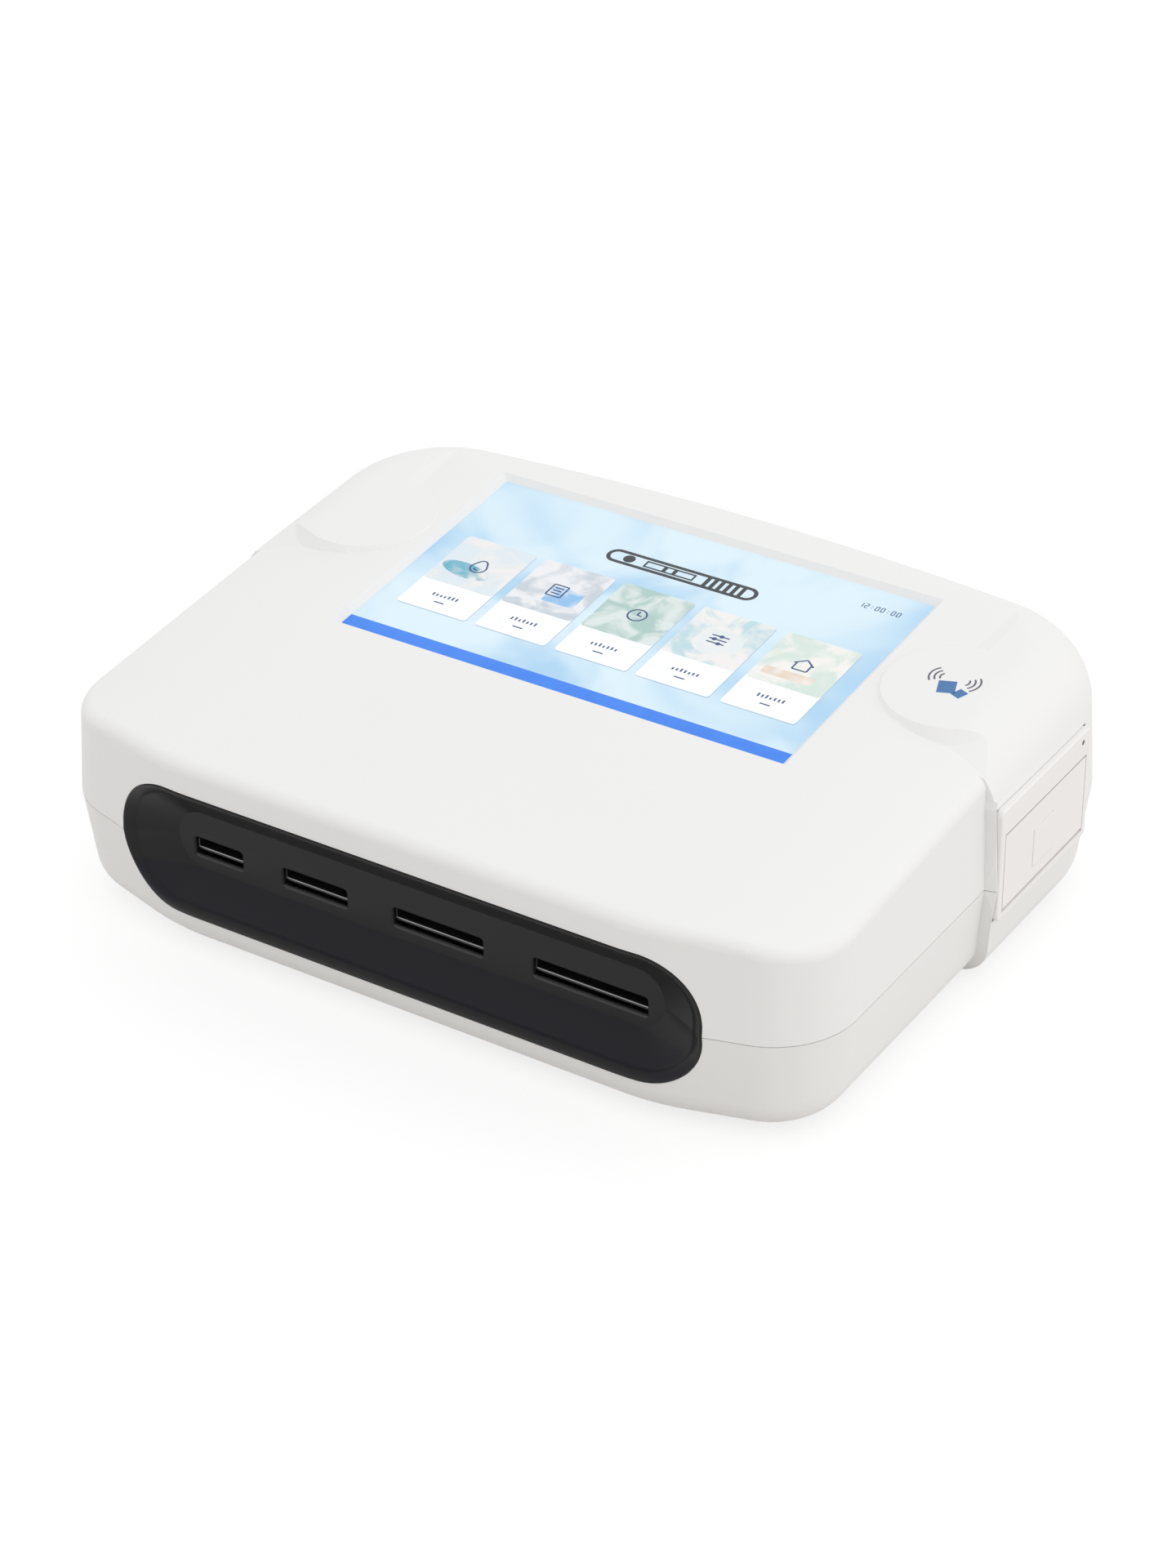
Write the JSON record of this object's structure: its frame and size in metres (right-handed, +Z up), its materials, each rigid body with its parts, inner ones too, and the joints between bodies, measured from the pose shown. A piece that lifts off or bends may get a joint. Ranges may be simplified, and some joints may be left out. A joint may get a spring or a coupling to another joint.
{
  "type": "rapid test reader",
  "caption": "Bench-top rapid test reader: sloping touch screen, card slots in a dished black front, a scanning head inside and a side ticket printer with a hinged door.",
  "frame": {"origin": "on the table, under the middle of the case", "axes": "+X to the user's right, +Y to the rear, +Z up; the card slots face -Y"},
  "size_m": [0.3803, 0.2937, 0.1152],
  "materials": {
    "case_white": "fine satin moulded texture",
    "case_white_lower": "fine satin moulded texture",
    "case_white_panel": "fine satin moulded texture",
    "case_white_door": "fine satin moulded texture",
    "bezel_black": "satin black",
    "screen_glass": "polished cover glass",
    "steel_tray": "dark coated",
    "steel_sheet": "zinc-plated sheet",
    "ground_steel": "ground",
    "board_green": "solder-resist",
    "black_plastic": "matte",
    "bronze": "sintered",
    "lens_barrel": "black anodised",
    "motor_can": "plain",
    "pulley_alloy": "turned",
    "belt_rubber": "moulded",
    "grey_plastic": "matte",
    "head_alloy": "extruded",
    "platen_rubber": "ground",
    "gear_plastic": "moulded",
    "brass": "cut",
    "paper": "smooth thermal paper",
    "light_pipe": "clear, unlit",
    "port_metal": "plated",
    "rocker_black": "satin",
    "screw_steel": "zinc-plated",
    "foot_rubber": "moulded",
    "guide_plastic": "moulded"
  },
  "bodies": {
    "case": {"upper_shell": "case_white", "lower_shell": "case_white_lower", "front_bezel": "bezel_black", "screen_glass": "screen_glass", "screen_module": "steel_tray", "screen_bracket": "steel_sheet", "reader_board": "board_green", "scanner_deck": "steel_sheet", "rod_bracket_left": "steel_sheet", "rod_bracket_right": "steel_sheet", "guide_rods": "ground_steel", "scan_motor": "motor_can", "idler_axle": "ground_steel", "drive_belt": "belt_rubber", "home_switch": "black_plastic", "printer_panel": "case_white_panel", "printer_frame": "grey_plastic", "thermal_head": "head_alloy", "tear_bar": "steel_sheet", "printer_motor": "motor_can", "hinge_pin": "ground_steel", "status_light": "light_pipe", "main_board": "board_green", "main_board_chips": "black_plastic", "power_board": "board_green", "power_parts": "black_plastic", "rear_panel": "grey_plastic", "usb_ports": "port_metal", "network_port": "black_plastic", "power_inlet": "black_plastic", "switch_body": "black_plastic", "casing_screws": "screw_steel", "rubber_feet": "foot_rubber", "card_guide_1": "guide_plastic", "card_guide_2": "guide_plastic", "card_guide_3": "guide_plastic", "card_guide_4": "guide_plastic"},
    "scan_sled": {"scan_carriage": "black_plastic", "carriage_bushes": "bronze", "reading_lens": "lens_barrel", "sensor_board": "board_green"},
    "drive_pulley": {"drive_pulley": "pulley_alloy"},
    "idler_pulley": {"idler_pulley": "pulley_alloy"},
    "printer_door": {"printer_door": "case_white_door"},
    "door_button": {"door_button": "case_white_door"},
    "platen": {"platen_roller": "platen_rubber", "platen_gear": "gear_plastic"},
    "drive_gear": {"drive_gear": "gear_plastic"},
    "motor_pinion": {"motor_pinion": "brass"},
    "paper_roll": {"paper_roll": "paper"},
    "power_rocker": {"power_rocker": "rocker_black"}
  },
  "joints": [
    {"name": "scan_slide", "type": "slide", "parent": "case", "child": "scan_sled", "axis": [1, 0, 0], "range_m": [0, 0.25]},
    {"name": "drive_pulley_spin", "type": "hinge", "parent": "case", "child": "drive_pulley", "pos_m": [0.147, -0.036, 0.042], "axis": [0, 0, 1], "range_deg": [0, 1700]},
    {"name": "idler_pulley_spin", "type": "hinge", "parent": "case", "child": "idler_pulley", "pos_m": [-0.147, -0.036, 0.042], "axis": [0, 0, 1], "range_deg": [0, 1700]},
    {"name": "printer_door_hinge", "type": "hinge", "parent": "case", "child": "printer_door", "pos_m": [0.1884, 0.05, 0.0384], "axis": [0, 1, 0], "range_deg": [0, 80]},
    {"name": "door_button_press", "type": "slide", "parent": "printer_door", "child": "door_button", "axis": [-1, 0, 0], "range_m": [0, 0.0012], "stiffness_N_per_m": 200, "springref_m": -0.0004},
    {"name": "platen_spin", "type": "hinge", "parent": "printer_door", "child": "platen", "pos_m": [0.1805, 0.048, 0.066], "axis": [0, 1, 0], "continuous": true},
    {"name": "drive_gear_spin", "type": "hinge", "parent": "case", "child": "drive_gear", "pos_m": [0.16839, 0.084, 0.06253], "axis": [0, 1, 0], "continuous": true},
    {"name": "motor_pinion_spin", "type": "hinge", "parent": "case", "child": "motor_pinion", "pos_m": [0.16309, 0.09, 0.07171], "axis": [0, 1, 0], "continuous": true},
    {"name": "paper_roll_spin", "type": "hinge", "parent": "case", "child": "paper_roll", "pos_m": [0.152, 0.0475, 0.0495], "axis": [0, 1, 0], "continuous": true},
    {"name": "power_rocker_tilt", "type": "hinge", "parent": "case", "child": "power_rocker", "pos_m": [-0.098, 0.1372, 0.026], "axis": [0, 0, 1], "range_deg": [-16, 0]}
  ],
  "couplings": [
    {"joint": "drive_pulley_spin", "follows": "scan_slide", "rad_per_m": 115.61},
    {"joint": "idler_pulley_spin", "follows": "scan_slide", "rad_per_m": 115.61},
    {"joint": "drive_gear_spin", "follows": "platen_spin", "ratio": -0.78571},
    {"joint": "motor_pinion_spin", "follows": "platen_spin", "ratio": 1.5714},
    {"joint": "paper_roll_spin", "follows": "platen_spin", "ratio": -0.3125}
  ]
}
